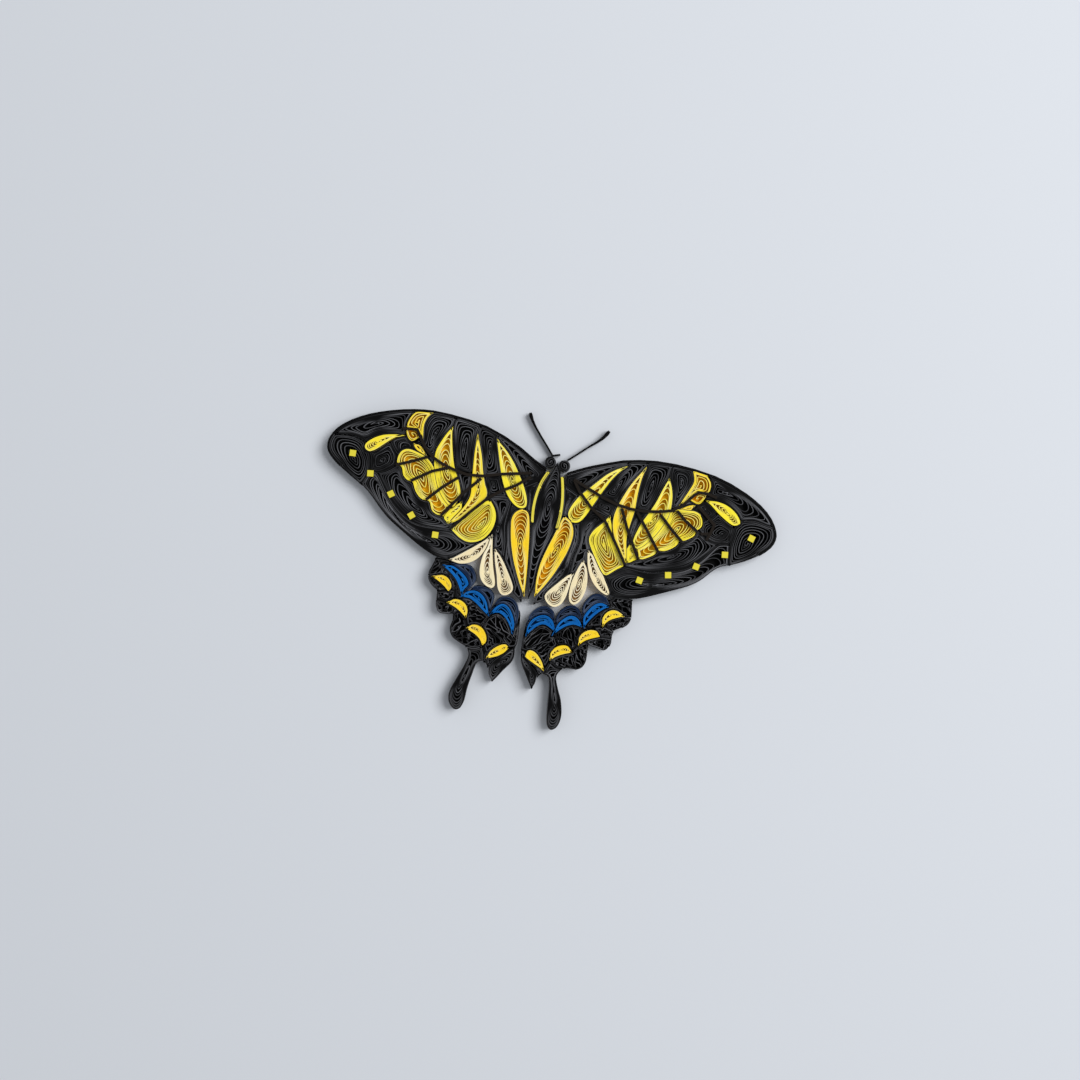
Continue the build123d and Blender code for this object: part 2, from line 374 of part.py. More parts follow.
# Strips on edge on top of the rolls.
veins = {
    "left": [
        [(-5.2, 13.7), (-7.6, 13.1), (-12.0, 12.0), (-16.0, 10.7), (-19.8, 10.2), (-23.0, 10.7),
         (-26.0, 11.5),
         (-28.4, 12.5), (-30.6, 14.3), (-32.6, 17.0), (-33.4, 18.1), (-36.8, 17.7)],
        [(-5.1, 12.8), (-8.0, 10.2), (-11.0, 8.3), (-13.8, 6.0), (-17.0, 2.2), (-20.9, -2.8)],
        [(-29.6, 12.4), (-33.0, 10.6), (-36.6, 9.0)], [(-24.6, 10.8), (-28.0, 9.3), (-32.4, 6.1)],
        [(-21.6, 9.2), (-25.0, 6.0), (-28.0, 2.5)], [(-16.4, 10.0), (-19.8, 5.8), (-23.8, -0.4)]],
    "right": [
        [(4.9, 14.3), (8.3, 13.0), (12.0, 11.7), (15.6, 10.7), (19.0, 10.3), (22.4, 10.4), (26.0, 11.1),
         (29.0, 12.0), (31.2, 13.9), (33.0, 16.4), (34.0, 17.4), (36.0, 17.5), (38.4, 17.0)],
        [(4.9, 14.2), (6.8, 11.7), (10.0, 8.8), (13.8, 6.5), (15.4, 4.4), (17.6, 1.5), (20.6, -2.7)],
        [(30.0, 12.1), (32.4, 10.2), (35.6, 8.3)], [(26.4, 10.4), (29.2, 7.9), (32.6, 5.2)],
        [(20.9, 9.9), (24.0, 6.2), (27.6, 1.8)], [(17.2, 10.0), (19.4, 5.6), (23.3, -0.7)],
        [(34.4, 14.2), (36.6, 12.7), (39.1, 10.7), (38.7, 8.8), (38.0, 6.8)], [(38.4, 8.4), (36.4, 8.0)]],
}

# Squares: centre and turn.
squares = {
    "left": [(-47.0, 9.6, 3), (-42.0, 5.8, 8), (-36.3, 2.1, 37), (-30.6, -1.8, 42), (-24.2, -5.1, 3)],
    "right": [(48.3, 9.4, -15), (43.0, 4.4, 8), (37.0, 0.3, -10), (31.0, -3.0, 12), (24.7, -5.6, -8)],
}

stripes = {
    "left": [(-1.25, 14.9), (-2.3, 12.4), (-2.95, 9.0), (-3.0, 5.5), (-2.6, 2.4)],
    "right": [(2.0, 14.4), (2.75, 11.4), (3.3, 8.0), (3.4, 5.0), (3.2, 2.2)],
}
eyes = {"left": (-1.35, 17.15, 1.35), "right": (2.05, 17.0, 1.4)}

# Antennae: points, each with its share of the club's thickness. The left one ends in a small hook.
antennae = {
    "left": [
        (-1.2, 18.8, 0), (-3.1, 20.9, 0), (-4.9, 22.8, 0.05), (-6.5, 24.6, 0.15), (-7.5, 25.9, 0.45),
        (-8.15, 27.0, 1), (-8.4, 27.6, 0.5)],
    "right": [
        (2.5, 18.5, 0), (4.5, 20.4, 0), (6.6, 22.5, 0.05), (8.5, 24.2, 0.25), (9.6, 25.4, 0.6),
        (10.35, 26.6, 1), (10.65, 27.2, 0.5)],
}
hooks = {"left": [(0.5, 19.4), (-0.4, 19.1), (-1.2, 18.8)]}

# The heart of each wound roll, where its innermost turn sits.
hearts = {
    "abdomen_roll_left": [(-4.6, -1.8)], "abdomen_roll_right": [(4.2, -2.4)], "body_roll": [(0.3, 4.0)],
    "bar_inner_left": [(-8.9, 10.4)], "bar_inner_right": [(8.6, 10.4)], "bar_middle_left": [(-16.4, 7.2)],
    "bar_middle_right": [(18.0, 8.0)], "bar_outer_left": [(-24.5, 9.6)], "bar_outer_right": [(24.9, 9.0)],
    "cell_base_left": [(-15.0, -0.8)], "cell_base_right": [(15.0, 0.6)], "cell_roll_left": [(-30.4, 7.4)],
    "cell_roll_right": [(30.8, 7.6)], "costal_comma_left": [(-33.6, 20.2)],
    "costal_comma_right": [(34.0, 19.2)], "apex_drop_left": [(-41.8, 13.5)],
    "apex_drop_right": [(41.8, 13.9)],
    "cream_drops_left": [(-14.8, -7.8), (-10.6, -10.6), (-6.6, -11.8)],
    "cream_drops_right": [(14.8, -6.8), (11.1, -9.6), (6.7, -12.4)],
    "tail_roll_left": [(-11.2, -39.6)], "tail_roll_right": [(11.5, -39.6)],
    "corner_roll_left": [(-2.9, -31.4)], "corner_roll_right": [(4.2, -32.0)],
}


def drawn_in(face, heart, share, sides):
    """Loop of points spaced round the face's edge and drawn in toward the heart of the roll."""
    edge = face.outer_wire()
    return [heart + (edge.position_at(k / sides) - heart) * share for k in range(sides)]


def open_share(face, heart):
    """How far out the loose turns reach: the widest loop that leaves the tight outer turns
    whole, or 0 for a roll that is too narrow to open."""
    for share in (0.7, 0.62, 0.54, 0.46, 0.38, 0.3):
        loop = Wire.make_polygon(drawn_in(face, heart, share, opening_sides))
        if loop.distance_to(face.outer_wire()) > outer_turns:
            return share
    return 0


os.makedirs("parts", exist_ok=True)

placed = {}
room = []
for side, (x, y, radius) in eyes.items():
    with BuildSketch() as eye_outline:
        with Locations((x * scale_up, y * scale_up)):
            Circle(radius * scale_up + glue_gap)
    room.append(eye_outline.face())
for side, line in stripes.items():
    face = fitted(band(line, stripe_width), room)
    placed["thorax_stripe_" + side] = [face]
    room.append(grown(face))
placed["wing_rims"] = []
for side, edge in leading_edges.items():
    wing = "forewing_" + side
    facets = spread(grounds[wing])
    tip = Vector(*edge[-1]) * scale_up
    with BuildSketch() as rim:
        with BuildLine():
            Polyline(*facets[:facets.index(tip) + 1])
        trace(line_width=2 * rim_width)
        add(filled(facets), mode=Mode.INTERSECT)
    face = fitted(rim.face(), room)
    placed["wing_rims"].append(face)
    room.append(grown(face))
for name, outlines in rolls.items():
    placed[name] = []
    for outline in outlines:
        face = fitted(filled(spread(outline)), room)
        placed[name].append(face)
        room.append(grown(face))

cells = {}
whole = {}
for wing, outline in grounds.items():
    whole[wing] = filled(spread(outline))
    taken = list(room)
    if wing.startswith("hindwing"):
        taken.append(grown(whole[wing.replace("hind", "fore")]))
    with BuildSketch() as ground:
        add(whole[wing])
        add(taken, mode=Mode.SUBTRACT)
        add([band(seam, glue_gap) for seam in seams[wing]], mode=Mode.SUBTRACT)
    cells[wing] = ground.faces()
for name, (wing, points) in black_rolls.items():
    spots = [Vertex(x * scale_up, y * scale_up, 0) for x, y in points]
    placed[name] = [cells[wing].sort_by_distance(spot)[0] for spot in spots]
    hearts[name] = points

for name, faces in placed.items():
    with BuildPart() as piece:
        with BuildSketch():
            add(faces)
        extrude(amount=strip_width)
        for face, (x, y) in zip(faces, hearts.get(name, [])):
            heart = Vector(x, y) * scale_up
            reach = open_share(face, heart)
            if reach == 0:
                continue
            with BuildSketch(Plane.XY.offset(strip_width)):
                with BuildLine():
                    Polyline(*drawn_in(face, heart, reach, opening_sides), close=True)
                make_face()
                if name not in black_rolls:
                    with BuildLine():
                        Polyline(*drawn_in(face, heart, reach * core_share, core_sides), close=True)
                    make_face(mode=Mode.SUBTRACT)
            extrude(amount=-recess_depth, mode=Mode.SUBTRACT)
    piece.part.label = name
    export_step(piece.part, "parts/" + name + ".step")

for side, (x, y, radius) in eyes.items():
    with BuildPart() as eye:
        with BuildSketch():
            with Locations((x * scale_up, y * scale_up)):
                Circle(radius * scale_up)
                Circle(eye_hole / 2, mode=Mode.SUBTRACT)
        extrude(amount=strip_width)
    eye.part.label = "eye_" + side
    export_step(eye.part, "parts/eye_" + side + ".step")

for side, line in antennae.items():
    with BuildPart() as antenna:
        with BuildSketch():
            add(tapered(line))
            if side in hooks:
                add(band(hooks[side], antenna_width))
            add(room[:2], mode=Mode.SUBTRACT)
        extrude(amount=antenna_height)
    antenna.part.label = "antenna_" + side
    export_step(antenna.part, "parts/antenna_" + side + ".step")

for side, lines in veins.items():
    with BuildPart() as vein:
        laid = []
        for line in lines:
            with BuildSketch(Plane.XY.offset(strip_width)) as strip:
                add(fitted(band(line, vein_width), laid))
            extrude(amount=vein_height)
            laid.append(grown(band(line, vein_width)))
    vein.part.label = "veins_" + side
    export_step(vein.part, "parts/veins_" + side + ".step")

for side, spots in squares.items():
    with BuildPart() as tiles:
        with BuildSketch(Plane.XY.offset(strip_width)):
            for x, y, turn in spots:
                with Locations(Location((x * scale_up, y * scale_up, 0), (0, 0, turn))):
                    Rectangle(square_side, square_side)
        extrude(amount=square_height)
    tiles.part.label = "squares_" + side
    export_step(tiles.part, "parts/squares_" + side + ".step")
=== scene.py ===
import math
import zlib
from collections import namedtuple

import bmesh
import bpy
import numpy as np
from bpy.props import FloatProperty, FloatVectorProperty, PointerProperty
from bpy.types import Operator, Panel, PropertyGroup
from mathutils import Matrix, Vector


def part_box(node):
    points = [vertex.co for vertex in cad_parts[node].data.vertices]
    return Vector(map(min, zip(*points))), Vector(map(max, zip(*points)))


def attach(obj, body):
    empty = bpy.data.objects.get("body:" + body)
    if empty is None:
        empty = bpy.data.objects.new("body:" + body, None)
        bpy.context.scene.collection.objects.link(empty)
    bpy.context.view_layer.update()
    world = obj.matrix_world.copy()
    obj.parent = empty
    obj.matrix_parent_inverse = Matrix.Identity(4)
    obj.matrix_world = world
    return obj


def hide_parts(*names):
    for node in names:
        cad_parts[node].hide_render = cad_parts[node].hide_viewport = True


bl_info = {
    "name": "Quilled butterfly",
    "version": (1, 0, 0),
    "blender": (4, 5, 0),
    "location": "View3D > Sidebar > Quilling",
    "description": "Winds the paper strips of a quilled swallowtail inside its CAD rolls",
    "category": "Add Mesh",
}

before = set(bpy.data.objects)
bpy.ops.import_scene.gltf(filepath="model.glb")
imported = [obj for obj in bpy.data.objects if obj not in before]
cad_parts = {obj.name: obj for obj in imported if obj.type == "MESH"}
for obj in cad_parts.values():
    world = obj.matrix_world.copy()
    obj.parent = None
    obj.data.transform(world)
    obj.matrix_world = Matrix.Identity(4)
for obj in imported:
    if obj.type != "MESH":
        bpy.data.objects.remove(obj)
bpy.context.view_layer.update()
RIM_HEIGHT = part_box("body_roll")[1].z

MM = 0.001
SIDES = ("left", "right")

# Where the sides and the spine of a roll are sampled, as shares of their length, and the samples of the
# middle three fifths.
SHARES = np.linspace(0, 1, 81)
MIDDLE = slice(16, 65)

# Where the innermost turn of a roll sits, in mm, and the way in which its turns are slack, in degrees.
# A roll without an entry is wound about its widest place, and one without a way is slack all round.
EVEN = math.nan
HEARTS = np.array([
    (-4.4, -2.8, EVEN), (4.0, -2.8, EVEN), (0.46, 7.4, EVEN),
    (-9.0, 10.7, EVEN), (-16.55, 7.05, EVEN), (-24.3, 9.75, EVEN), (-30.5, 8.0, EVEN), (-14.4, -0.9, 220),
    (-41.9, 13.4, EVEN), (-33.9, 19.8, EVEN),
    (9.2, 10.1, EVEN), (17.9, 6.3, EVEN), (24.7, 8.6, EVEN), (30.9, 7.8, EVEN), (14.8, 0.86, -60),
    (41.9, 14.0, EVEN), (34.2, 18.8, EVEN),
    (-15.0, -8.2, EVEN), (-10.4, -11.3, EVEN), (-6.7, -12.1, EVEN),
    (14.6, -7.3, EVEN), (11.1, -9.4, EVEN), (6.8, -12.3, EVEN),
    (-43.0, 17.9, 0), (-46.2, 8.4, EVEN), (-40.3, 9.2, EVEN), (-29.5, 0.2, -45), (-26.2, -6.6, 0),
    (-29.0, 18.0, 60), (-21.9, 16.4, 80), (-15.9, 17.3, EVEN), (-13.4, 9.7, EVEN),
    (40.2, 18.8, -20), (47.6, 7.6, EVEN), (42.0, 8.8, EVEN), (31.7, 2.0, 35), (27.6, -6.3, 15),
    (14.7, 14.2, 50), (22.9, 16.5, 75), (29.5, 19.2, EVEN),
    (-11.3, -38.1, -95), (11.4, -38.3, -85),
])

# Outlines: the least width, step and squared step that are divided by, the slant that a flat back's
# normal stays under, and the points of a round outline.
LEAST_WIDTH = 1e-9
LEAST_STEP = 1e-12
LEAST_SQUARE = 1e-15
FACING_DOWN = -0.99
RING_POINTS = 48

# Winding: the spacing of the turns, which grows with a roll's reach, and how evenly they are wound.
LEAST_PITCH = 0.22 * MM
PITCH_GROWTH = 0.075
LEAST_TURNS = 2
LEAST_EYELETS = 1.2
PACKED_TURNS = 2
POINT_SPACING = 0.4 * MM
POINTS_PER_TURN = (40, 96)
UNEVENNESS = 0.014
UNEVEN_RATE = 2.4
SHRINKING = 1.08
TIGHT_POWER = 0.45
BUMPY_SIZE = 0.75
CAPPED_SHARE = 0.06
EASING = 30
EASE_RANGE = (4, 16)

# Crumpling: the legs of a crumpled strip, with lengths in thicknesses of the strip.
LEG_PITCH = 3.6
LEAST_LEGS = 3
LEG_POINTS = 6
LEG_STRAY = 0.35
LEG_ENDS = (0.04, 0.96)
BORDER_ROOM = 3
LEG_FINENESS = 7
CRUMPLE_SIZE = 0.4
BORDER_TURNS = 2

# Painted highlight on the edges: the gap to the next turn at which an edge starts to be painted paler,
# how much more gap paints it fully, and the range of chance in it.
GLINT_GAP = 0.22 * MM
GLINT_RANGE = 0.5 * MM
GLINT_LEAST = 0.3
GLINT_POWER = 1.5
BORDER_GLINT = 0.8
MARKS_PER_TURN = 3
SAG_GROWTH = 1.5
TONE_SPREAD = 0.12
SHARP_EDGE = math.radians(50)

# Finish of the papers: how rough each one is, and the fibres that all of them have.
ROUGHNESS = {
    "yellow": 0.7, "lemon": 0.7, "cream": 0.7, "blue": 0.55, "navy": 0.55, "black": 0.45, "vein": 0.6}
SPECULAR = 0.06
FIBRES = {"Scale": 2600.0, "Detail": 3.0}
FIBRE_RELIEF = {"Strength": 0.15, "Distance": 0.02 * MM}
FLECK_SHARE = 0.1
FLECK_GREY = (0.5, 0.5, 0.5, 1.0)

# Stage, in metres, and the picture, in pixels: its width, and how far its middle is from the body.
FLOOR_REACH = 20.0
FLOOR_DROP = 0.02 * MM
FLOOR_ROUGHNESS = 0.85
SKY_TINT = (0.95, 0.97, 1.0, 1.0)
NEAREST_SEEN = 0.01
SENSOR_WIDTH = 36
PICTURE_WIDTH = 1080
PICTURE_SHIFT = (-1, -5)

# A piece of a mesh: its corners, the corners of its faces in turn, how many each face has, and the share
# of painted highlight at each corner.
Shape = namedtuple("Shape", "corners loops counts glint")

# How a strip is laid: the points of its line, the size of the turn that each one is on, from 1 at the
# outside, the turns so far, and how many thicknesses it lies further in.
Lay = namedtuple("Lay", "line size turns inset")


def srgb(red, green, blue):
    """Linear colour from the 0 to 255 values seen on a screen."""
    share = np.array([red, green, blue]) / 255
    linear = np.where(share <= 0.04045, share / 12.92, ((share + 0.055) / 1.055) ** 2.4)
    return (*linear.tolist(), 1.0)


def distance(name, description, default):
    """A length that a user may change."""
    return FloatProperty(name=name, description=description, default=default, unit="LENGTH", precision=6)


def colour(name, description, *seen):
    """A colour that a user may change, given as it is seen on a screen."""
    return FloatVectorProperty(
        name=name, description=description, size=4, subtype="COLOR", min=0, max=1, default=srgb(*seen))


class PaperStrips(PropertyGroup):
    """Sizes of the wound strips."""

    thickness: distance("Thickness", "Thickness of one paper strip", 0.16 * MM)
    eyelet: distance("Eyelet", "Radius of the innermost turn", 0.35 * MM)
    # Painted shade: the bed is a sheet in the gaps between the turns, up to this height, that shows the
    # deep colour there; it stands in for shade, not for a glued back.
    shade_bed_height: distance("Bed", "Height of the glued back that shows between the turns", 1.1 * MM)
    sag: distance("Sag", "How far an inner turn may sit below the rim", 0.15 * MM)


class PaperColours(PropertyGroup):
    """Colours of the papers: at the cut edge, a painted highlight on a loose turn's edge, and painted
    shade deep between the turns, which is also the darker dye that a roll's tone draws its edges towards."""

    # Painted light: each glint colour is a painted highlight, and each deep colour is painted shade
    # between the turns, and also the darker dye that a roll's tone draws towards.
    yellow: colour("Yellow", "Long rolls of the wings, edge", 255, 238, 62)
    yellow_glint: colour("Yellow, glint", "Long rolls of the wings, loose edge", 255, 254, 190)
    yellow_deep: colour("Yellow, deep", "Long rolls of the wings, between the turns", 255, 196, 24)
    lemon: colour("Lemon", "Squares and thorax stripes, edge", 229, 215, 68)
    lemon_glint: colour("Lemon, glint", "Thorax stripes, loose edge", 250, 240, 130)
    lemon_deep: colour("Lemon, deep", "Squares and thorax stripes, foot", 205, 170, 40)
    cream: colour("Cream", "Drops of the hindwing, edge", 250, 236, 194)
    cream_glint: colour("Cream, glint", "Drops of the hindwing, loose edge", 255, 252, 238)
    cream_deep: colour("Cream, deep", "Drops of the hindwing, between the turns", 206, 154, 60)
    blue: colour("Blue", "Crescents of the hindwing, edge", 8, 98, 178)
    blue_glint: colour("Blue, glint", "Crescents of the hindwing, loose edge", 48, 130, 205)
    blue_deep: colour("Blue, deep", "Crescents of the hindwing, between the turns", 2, 34, 84)
    navy: colour("Navy", "Crescents behind the blue ones, edge", 20, 36, 64)
    navy_glint: colour("Navy, glint", "Crescents behind the blue ones, loose edge", 104, 118, 142)
    navy_deep: colour("Navy, deep", "Crescents behind the blue ones, between the turns", 2, 8, 20)
    black: colour("Black", "Ground of the wings and body, edge", 10, 10, 11)
    black_glint: colour("Black, glint", "Ground of the wings and body, loose edge", 140, 141, 146)
    black_deep: colour("Black, deep", "Ground of the wings and body, between the turns", 4, 4, 4)
    vein: colour("Vein", "Vein strips, edge", 33, 28, 24)
    vein_glint: colour("Vein, glint", "Vein strips, loose edge", 33, 28, 24)
    vein_deep: colour("Vein, deep", "Vein strips, foot", 14, 11, 8)
    floor: colour("Floor", "Floor under the butterfly", 214, 218, 224)


class StudioSizes(PropertyGroup):
    """Camera and lamps."""

    camera_height: distance("Camera height", "Height of the camera over the rims of the rolls", 320 * MM)
    view_width: distance("View width", "Width of the picture at the rims of the rolls", 252.6 * MM)
    view_turn: FloatProperty(
        name="View turn", description="Turn of the camera about its axis", default=math.radians(12),
        subtype="ANGLE")
    lamp_power: FloatProperty(
        name="Lamp power", description="Power of the soft lamp", default=15.8, unit="POWER")
    lamp_width: distance("Lamp width", "Width of the soft lamp", 0.84)
    lamp_place: FloatVectorProperty(
        name="Lamp place", description="Where the soft lamp stands", default=(0.71, 0.5, 1.01),
        subtype="TRANSLATION", unit="LENGTH")
    daylight: FloatProperty(
        name="Daylight", description="Strength of the light from all round", default=0.39)


class Value:
    """A socket of a material's nodes. Products of values add Math nodes."""

    def __init__(self, tree, socket):
        self.tree = tree
        self.socket = socket

    def node(self, kind, settings, sockets, output):
        """Adds a node, its settings first and then the values or links of its sockets, and gives the
        value that comes out of it."""
        made = self.tree.nodes.new(kind)
        for name, setting in settings.items():
            setattr(made, name, setting)
        for name, given in sockets.items():
            if isinstance(given, Value):
                self.tree.links.new(given.socket, made.inputs[name])
            else:
                made.inputs[name].default_value = given
        return Value(self.tree, made.outputs[output])

    def mix(self, first, second, blend="MIX"):
        """Colour between two others, at the share that this value gives."""
        return self.node(
            "ShaderNodeMix", {"data_type": "RGBA", "blend_type": blend},
            {"Factor": self, "A": first, "B": second}, "Result")

    def __mul__(self, other):
        return self.node("ShaderNodeMath", {"operation": "MULTIPLY"}, {0: self, 1: other}, 0)

    __rmul__ = __mul__


def paper(name, face, glint, shade_and_dye, roughness):
    """Dyed paper with painted shade and a painted highlight. Its colour runs from the deep colour at the
    back to face at the cut edge: painted shade for the light that comes back between the turns, darker
    the lower it is. A loose turn's edge is painted paler, as a highlight, a roll's tone draws its edges
    towards the deep colour as a darker dye, and fine fibres fleck it all."""
    material = bpy.data.materials.new(name)
    material.use_nodes = True
    tree = material.node_tree
    shader = tree.nodes["Principled BSDF"]
    start = Value(tree, None)
    place = start.node("ShaderNodeTexCoord", {}, {}, "Object")
    height = start.node("ShaderNodeSeparateXYZ", {}, {"Vector": place}, "Z")
    # Painted shade: the colour runs from the deep colour at the back up to the edge colour at the rim.
    raised = start.node("ShaderNodeClamp", {}, {"Value": height * (1 / RIM_HEIGHT)}, 0)
    loose = start.node("ShaderNodeAttribute", {"attribute_name": "glint"}, {}, "Fac")
    tone = start.node("ShaderNodeAttribute", {"attribute_name": "tone"}, {}, "Fac")
    grain = start.node("ShaderNodeTexNoise", {}, {"Vector": place, **FIBRES}, "Fac")
    # Painted highlight: a loose edge's glint pales it; a roll's tone draws its edge towards the deep
    # colour as a darker dye.
    edge = loose.mix(tone.mix(face, shade_and_dye), glint)
    flecked = (grain * FLECK_SHARE).mix(raised.mix(shade_and_dye, edge), FLECK_GREY, "MULTIPLY")
    relief = start.node("ShaderNodeBump", {}, {"Height": grain, **FIBRE_RELIEF}, "Normal")
    tree.links.new(flecked.socket, shader.inputs["Base Color"])
    tree.links.new(relief.socket, shader.inputs["Normal"])
    shader.inputs["Roughness"].default_value = roughness
    shader.inputs["Specular IOR Level"].default_value = SPECULAR
    return material


def papers(context):
    """The papers by the slots that they fill. Each is made once."""
    colours = context.scene.quilling_colours
    made = {}
    for name, roughness in ROUGHNESS.items():
        label = "quilled_" + name
        shades = [tuple(getattr(colours, name + part)) for part in ("", "_glint", "_deep")]
        made[name + "_paper"] = bpy.data.materials.get(label) or paper(label, *shades, roughness)
    return made


def outlines(node):
    """Outline of each solid of a CAD node, counter-clockwise from above, read off its flat back."""
    solid = bmesh.new()
    solid.from_mesh(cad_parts[node].data)
    bmesh.ops.remove_doubles(solid, verts=solid.verts, dist=1e-6)
    bmesh.ops.dissolve_limit(solid, angle_limit=1e-3, verts=solid.verts, edges=solid.edges)
    lowest = min(v.co.z for v in solid.verts)
    flat = [f for f in solid.faces if f.normal.z < FACING_DOWN]
    backs = [f for f in flat if f.calc_center_median().z < lowest + 0.01 * MM]
    found = [np.array([v.co.xy for v in back.verts])[::-1] for back in backs]
    solid.free()
    return found


def ring(node):
    """Outline of a round CAD node: a circle that fits its box."""
    low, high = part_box(node)
    angle = np.linspace(0, 2 * math.pi, RING_POINTS, endpoint=False)
    middle, radius = (low + high) / 2, (high.x - low.x) / 2
    return np.stack([middle.x + radius * np.cos(angle), middle.y + radius * np.sin(angle)], axis=1)


def lengths(steps):
    """Length of each step: the root of the sum of its squares."""
    return np.linalg.norm(steps, axis=-1)


def rounded(points, pinch=math.radians(48), rounds=2):
    """Rounds the facets of an outline: between b and c, with a before and d after, comes the point
    (9 (b + c) - (a + d)) / 16. Corners sharper than a pinch stay, and a neighbour further off than
    c is from b is drawn nearer first."""
    step = np.roll(points, -1, axis=0) - points
    back = np.roll(step, 1, axis=0)
    turn = np.arctan2(back[:, 0] * step[:, 1] - back[:, 1] * step[:, 0], (back * step).sum(axis=1))
    sharp = np.abs(turn) > pinch
    for _ in range(rounds):
        end = np.roll(points, -1, axis=0)
        step = end - points
        back = np.roll(step, 1, axis=0)
        onward = np.roll(step, -1, axis=0)
        reach = lengths(step)
        back = back * np.minimum(1, reach / lengths(back))[:, None]
        onward = onward * np.minimum(1, reach / lengths(onward))[:, None]
        before = points - np.where(sharp[:, None], step, back)
        beyond = end + np.where(np.roll(sharp, -1)[:, None], step, onward)
        halfway = (9 * (points + end) - before - beyond) / 16
        points = np.stack([points, halfway], axis=1).reshape(-1, 2)
        sharp = np.stack([sharp, np.zeros_like(sharp)], axis=1).ravel()
    return points


def along(line, shares):
    """Points at these shares of a line's length."""
    run = np.concatenate([[0], np.cumsum(lengths(np.diff(line, axis=0)))])
    return np.stack([np.interp(shares * run[-1], run, line[:, k]) for k in range(2)], axis=-1)


def at(line, shares):
    """Points of a line that is sampled at SHARES."""
    return np.stack([np.interp(shares, SHARES, line[:, k]) for k in range(2)], axis=-1)


def eased(line, reach):
    """A line with its small bumps smoothed: each point is the mean of those within reach."""
    kernel = np.full(2 * reach + 1, 1 / (2 * reach + 1))
    padded = np.pad(line, ((reach, reach), (0, 0)), mode="edge")
    return np.stack([np.convolve(padded[:, k], kernel, mode="valid") for k in range(2)], axis=1)


def inside(points, outline):
    """Which points lie inside an outline: a ray to the right crosses it an odd number of times."""
    start, end = outline, np.roll(outline, -1, axis=0)
    rise = end[:, 1] - start[:, 1]
    level = points[:, None, 1]
    spans = (start[:, 1] > level) != (end[:, 1] > level)
    safe = np.where(rise == 0, 1, rise)
    cross = start[:, 0] + (level - start[:, 1]) / safe * (end[:, 0] - start[:, 0])
    return (spans & (points[:, None, 0] < cross)).sum(axis=1) % 2 == 1


def held_in(line, outline):
    """The line, with each stretch that leaves the outline laid along the outline: a point goes to the
    nearest foot, start + share step, with share held from 0 to 1."""
    start = outline[None]
    step = (np.roll(outline, -1, axis=0) - outline)[None]
    astray = np.flatnonzero(~inside(line, outline))
    loose = line[astray, None]
    share = ((loose - start) * step).sum(axis=-1) / np.maximum((step ** 2).sum(axis=-1), LEAST_SQUARE)
    foot = start + np.clip(share, 0, 1)[..., None] * step
    nearest = lengths(loose - foot).argmin(axis=1)
    held = line.copy()
    held[astray] = foot[np.arange(len(astray)), nearest]
    return held


def sides(outline):
    """An outline parted at its two furthest points: its two sides, and the spine halfway between."""
    apart = lengths(outline[:, None] - outline[None])
    first, last = np.unravel_index(apart.argmax(), apart.shape)
    loop = np.roll(outline, -first, axis=0)
    split = (last - first) % len(outline)
    there = along(loop[:split + 1], SHARES)
    back = along(np.concatenate([loop[split:], loop[:1]])[::-1], SHARES)
    return there, back, (there + back) / 2


def heart_of(outline, there, back, spine):
    """Where the innermost turn of a roll sits, and the way in which its turns are slack."""
    held = HEARTS[inside(HEARTS[:, :2] * MM, outline)]
    if len(held):
        return held[0, :2] * MM, math.radians(held[0, 2])
    widest = MIDDLE.start + lengths(there - back)[MIDDLE].argmax()
    return spine[widest], EVEN


